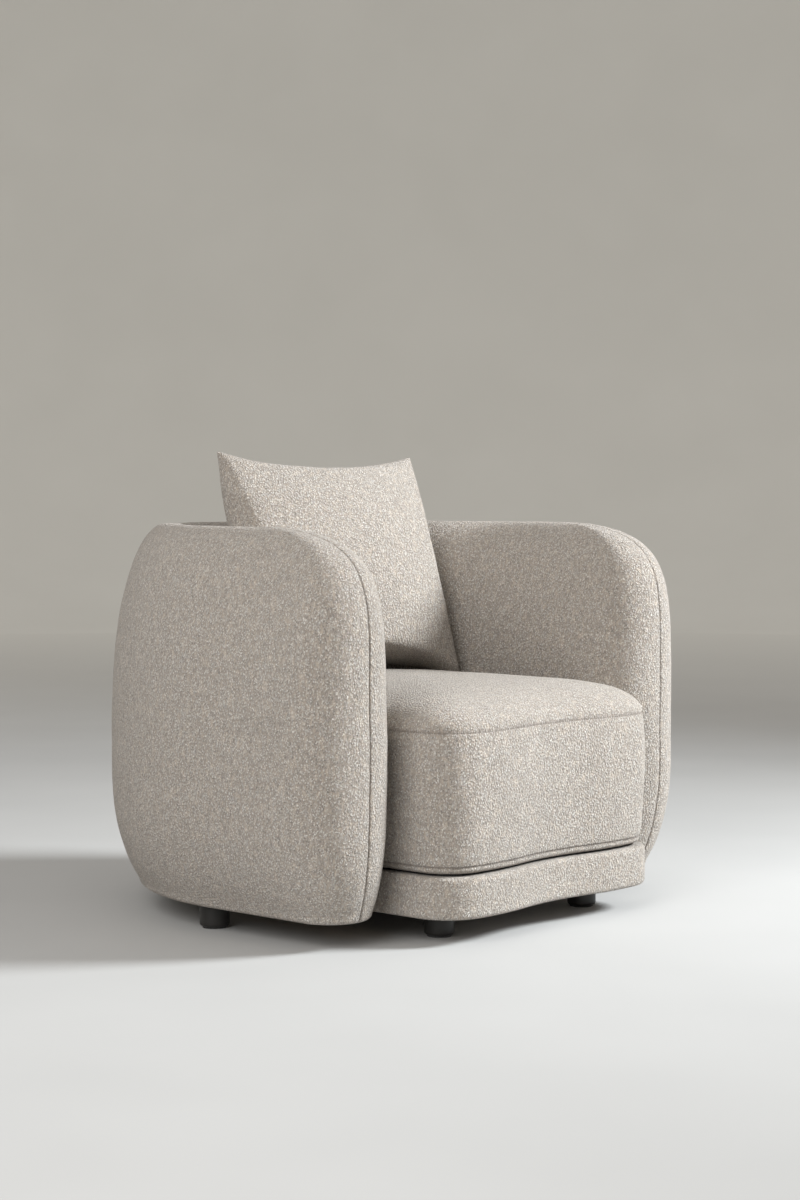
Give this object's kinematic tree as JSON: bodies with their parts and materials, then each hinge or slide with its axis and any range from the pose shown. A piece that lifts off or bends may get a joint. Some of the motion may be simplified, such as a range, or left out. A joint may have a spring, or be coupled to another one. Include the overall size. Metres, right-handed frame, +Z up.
{
  "type": "tub chair",
  "caption": "Upholstered tub chair with a wrap-around back and arms, a loose wave-fronted seat cushion, a scatter cushion and short round feet.",
  "frame": {"origin": "on the floor, under the middle of the chair's width and depth", "axes": "+Z up; -Y is the way the chair faces; +X is to the right seen from the front"},
  "size_m": [0.974, 0.882, 0.7996],
  "materials": {
    "foot": "black stained, satin",
    "glide": "matte",
    "steel": "zinc plated",
    "plywood": "raw",
    "timber": "raw",
    "lining": "non-woven",
    "webbing": "woven",
    "foam": "open-cell foam",
    "fibre": "fibre wadding",
    "boucle": "nubby boucle, greige",
    "zip_tape": "woven tape",
    "zip_coil": "matte",
    "zip_slider": "matte"
  },
  "bodies": {
    "frame": {"foot_front_left": "foot", "foot_front_right": "foot", "foot_side_left": "foot", "foot_side_right": "foot", "foot_rear_left": "foot", "foot_rear_right": "foot", "foot_glides": "glide", "foot_bolts": "steel", "foot_inserts": "steel", "base_board": "plywood", "outer_liner": "plywood", "inner_liner": "plywood", "top_rim": "plywood", "tub_posts": "timber", "front_rail": "timber", "side_rail_left": "timber", "side_rail_right": "timber", "rear_rail": "timber", "corner_blocks": "timber", "dust_cover": "lining", "deck_cloth": "lining", "cross_webbing": "webbing", "long_webbing": "webbing", "back_foam": "foam", "arm_foam_left": "foam", "arm_foam_right": "foam", "plinth_padding": "foam", "outer_cover": "boucle", "inner_cover": "boucle", "plinth_cover": "boucle"},
    "seat_cushion": {"seat_foam_core": "foam", "seat_fibre_topper": "fibre", "seat_bottom_panel": "boucle", "seat_boxing": "boucle", "seat_top_panel": "boucle", "seat_zip_tape": "zip_tape", "seat_zip_coil": "zip_coil"},
    "seat_slider": {"seat_zip_slider": "zip_slider"},
    "scatter_cushion": {"pillow_filling": "fibre", "pillow_front_panel": "boucle", "pillow_back_panel": "boucle", "pillow_zip_tape": "zip_tape", "pillow_zip_coil": "zip_coil"},
    "scatter_slider": {"pillow_zip_slider": "zip_slider"}
  },
  "joints": [
    {"name": "seat_lift", "type": "slide", "parent": "frame", "child": "seat_cushion", "axis": [0, 0, 1], "range_m": [0, 0.57]},
    {"name": "seat_zip_run", "type": "hinge", "parent": "seat_cushion", "child": "seat_slider", "pos_m": [0, -0.053, 0.2143], "axis": [0, 0, 1], "range_deg": [-97.6, 0]},
    {"name": "scatter_lift", "type": "slide", "parent": "seat_cushion", "child": "scatter_cushion", "axis": [0, 0, 1], "range_m": [0, 0.3]},
    {"name": "scatter_zip_run", "type": "slide", "parent": "scatter_cushion", "child": "scatter_slider", "axis": [0.9781, -0.2079, 0], "range_m": [-0.268, 0]}
  ]
}
